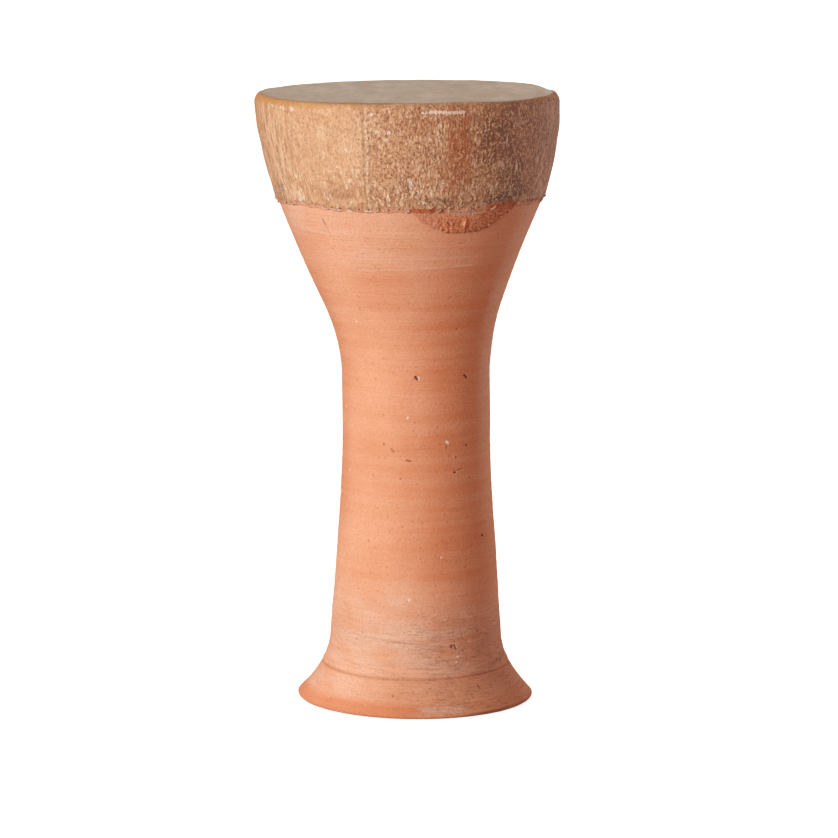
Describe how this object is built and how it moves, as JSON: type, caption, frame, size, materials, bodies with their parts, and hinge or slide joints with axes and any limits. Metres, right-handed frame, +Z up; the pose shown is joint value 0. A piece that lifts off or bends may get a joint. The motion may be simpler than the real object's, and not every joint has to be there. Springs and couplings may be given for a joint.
{
  "type": "goblet drum",
  "caption": "Goblet-shaped clay hand drum with a flared open foot, a straight waist and a glued hide head with a laced lower edge.",
  "frame": {"origin": "centre of the foot's rest plane", "axes": "+Z up the drum's axis towards the playing face, -Y to the front, where the glue smear lies to the right"},
  "size_m": [0.21, 0.21, 0.425],
  "materials": {
    "clay": "unglazed, matte and slightly chalky",
    "hide": "dry rawhide, satin",
    "dried_glue": "dried hide glue, semi-gloss",
    "thread": "twisted cotton, matte"
  },
  "bodies": {
    "root": {"clay_body": "clay", "hide_head": "hide", "glue_bed": "dried_glue", "glue_smear": "dried_glue", "lacing_ends": "thread"}
  },
  "joints": []
}
